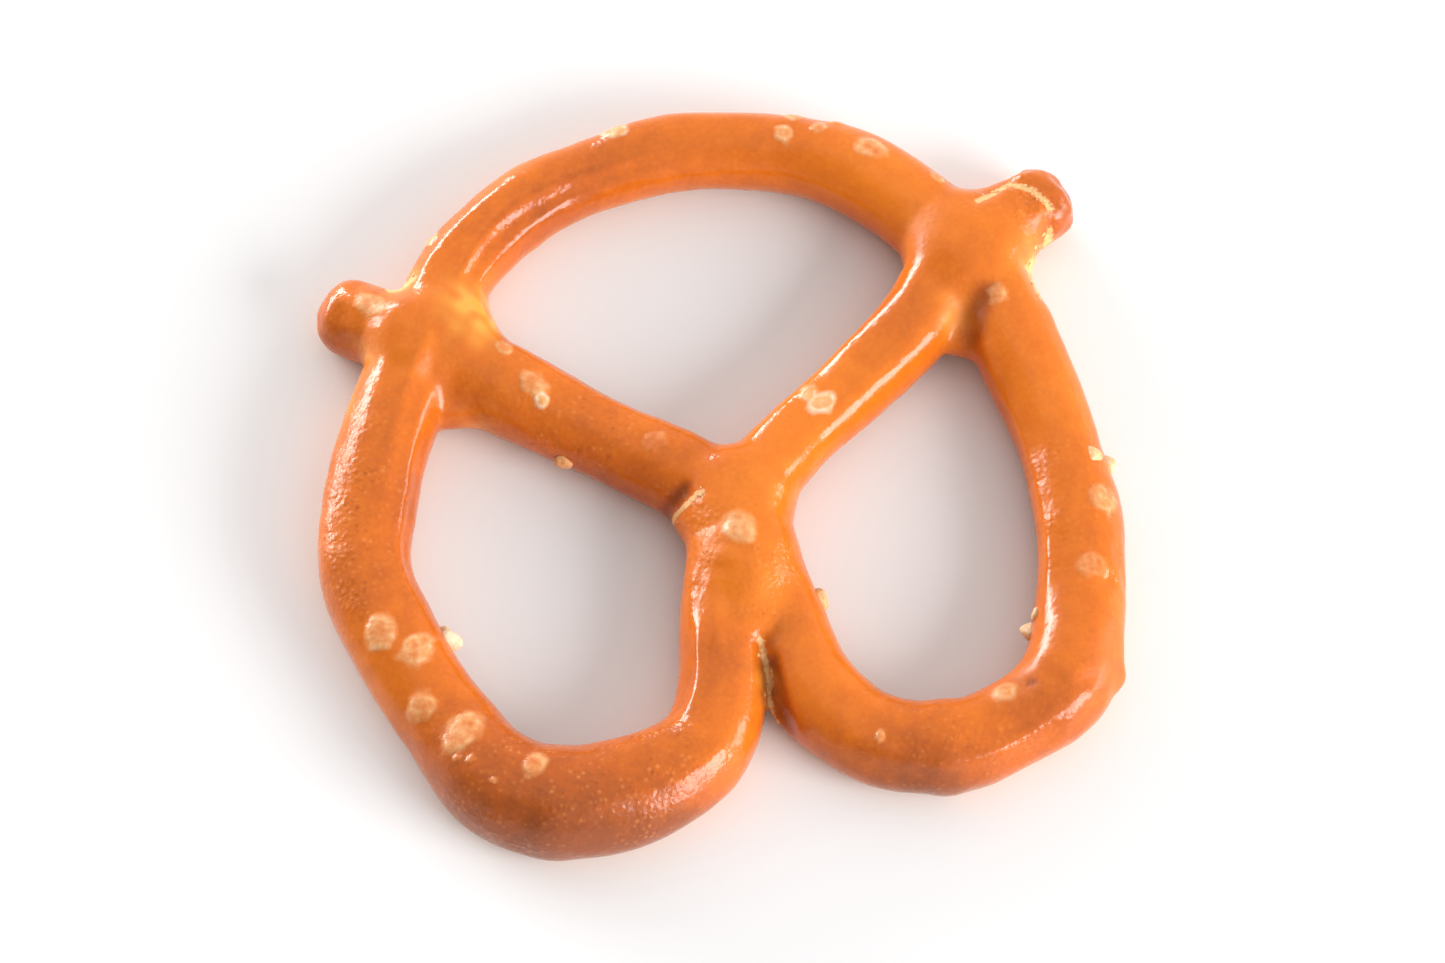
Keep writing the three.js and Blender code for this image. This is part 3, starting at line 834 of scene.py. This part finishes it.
places = []
for line in TORN:
    run = line[2:4] - line[:2]
    share = draw.uniform(0, 1, (int(CRUMBS_PER_MM * np.linalg.norm(run)), 1))
    places.append(line[:2] + share * run + line[4] * draw.normal(size=(len(share), 2)))
seats = seats_at(np.concatenate(places))
width = draw.uniform(*CRUMB_WIDTHS, len(seats))
length = width * draw.uniform(*CRUMB_LENGTHS, len(seats))
heading = draw.uniform(0, 2 * np.pi, len(seats))
thick = CRUMB_THICKNESS * width
crumb_points, crumb_faces = chipped_lumps(
    seats, np.stack([width, length], axis=1), heading, thick, thick / 2, CRUMB_CHIPS, rings=4, sides=8)
crumbs = new_piece("crumbs", crumb_points, crumb_faces)

shader, paint = new_material("dough_crumb", crumbs)
paint.cloud(0.5).ramp(*CRUMB_BROWNS).to(shader, "Base Color")
shader.inputs["Roughness"].default_value = 0.6
paint.bump(paint.cloud(0.15), 0.03).to(shader, "Normal")

# ---- The floor ----
# A plain sheet of white card under the pretzel, so wide that its edges don't show. It is no part of the
# object.
FLOOR_SIZE = 4          # metres
bpy.ops.mesh.primitive_plane_add(size=FLOOR_SIZE)
floor = bpy.context.object
floor.name = "floor"
shader, paint = new_material("white_sheet", floor)
shader.inputs["Base Color"].default_value = (0.89, 0.89, 0.89, 1)
shader.inputs["Roughness"].default_value = 0.6

# ---- The light and the camera ----
# A pale room that is dark in front on the left, and three boxes that draw the bright lines on the glaze:
# one low at the back on the left, one in front on the right, and a dim one on the right. The sizes here
# are in metres.
ROOM = 0.80
DARK_ROOM = 0.25
DARK_SIDE = Vector((-0.64, -0.46, 0.62))
DARK_FROM = 0.60        # cosine of the angle from the dark side at which the room starts to darken,
DARKEST_FROM = 0.95     # and of the one inside which it is darkest

world = bpy.data.worlds.new("studio")
bpy.context.scene.world = world
world.use_nodes = True
background = world.node_tree.nodes["Background"]
background.inputs["Color"].default_value = (1, 1, 1, 1)
room = Paint(world.node_tree)
way = room.node("ShaderNodeTexCoord", output="Generated")
towards_dark = room.node(
    "ShaderNodeVectorMath", {"operation": "DOT_PRODUCT"}, {0: way, 1: DARK_SIDE}, output="Value")
ends = {"Value": towards_dark, "From Min": DARK_FROM, "From Max": DARKEST_FROM,
        "To Min": ROOM, "To Max": DARK_ROOM}
room.node("ShaderNodeMapRange", {"interpolation_type": "SMOOTHSTEP"}, ends).to(background, "Strength")

BOX_DISTANCE = 0.5


def softbox(name, way, size, radiance):
    """A rectangular light, in a way from the middle of the pretzel that it faces. Its size is width and
    height, and its energy is radiance times area times pi."""
    light = bpy.data.lights.new(name, "AREA")
    light.shape = "RECTANGLE"
    light.size, light.size_y = size
    light.energy = radiance * size[0] * size[1] * math.pi
    box = bpy.data.objects.new(name, light)
    bpy.context.scene.collection.objects.link(box)
    box.location = Vector(way).normalized() * BOX_DISTANCE
    box.rotation_euler = Vector(way).to_track_quat("Z", "Y").to_euler()


softbox("back_left_box", (-0.70, 0.69, 0.17), (0.44, 0.12), 20)
softbox("front_right_box", (0.79, -0.48, 0.37), (0.28, 0.25), 12.5)
softbox("right_box", (0.98, 0.06, 0.17), (0.20, 0.12), 8)

CAMERA_ELEVATION = math.radians(67)
CAMERA_DISTANCE = 0.65
VIEW_WIDTH = 0.0865     # what the camera sees from side to side, at the crossing
SENSOR_WIDTH = 36       # millimetres
LOOK_AT_HEIGHT = 2.2    # millimetres, about the middle of the rope
target = Vector((0, 0, LOOK_AT_HEIGHT * MM))
camera_data = bpy.data.cameras.new("camera")
camera_data.sensor_width = SENSOR_WIDTH
camera_data.lens = SENSOR_WIDTH * CAMERA_DISTANCE / VIEW_WIDTH
camera = bpy.data.objects.new("camera", camera_data)
bpy.context.scene.collection.objects.link(camera)
towards_camera = Vector((0, -math.cos(CAMERA_ELEVATION), math.sin(CAMERA_ELEVATION)))
camera.location = target + CAMERA_DISTANCE * towards_camera
camera.rotation_euler = (math.pi / 2 - CAMERA_ELEVATION, 0, 0)
bpy.context.scene.camera = camera
bpy.context.scene.view_settings.view_transform = "Standard"
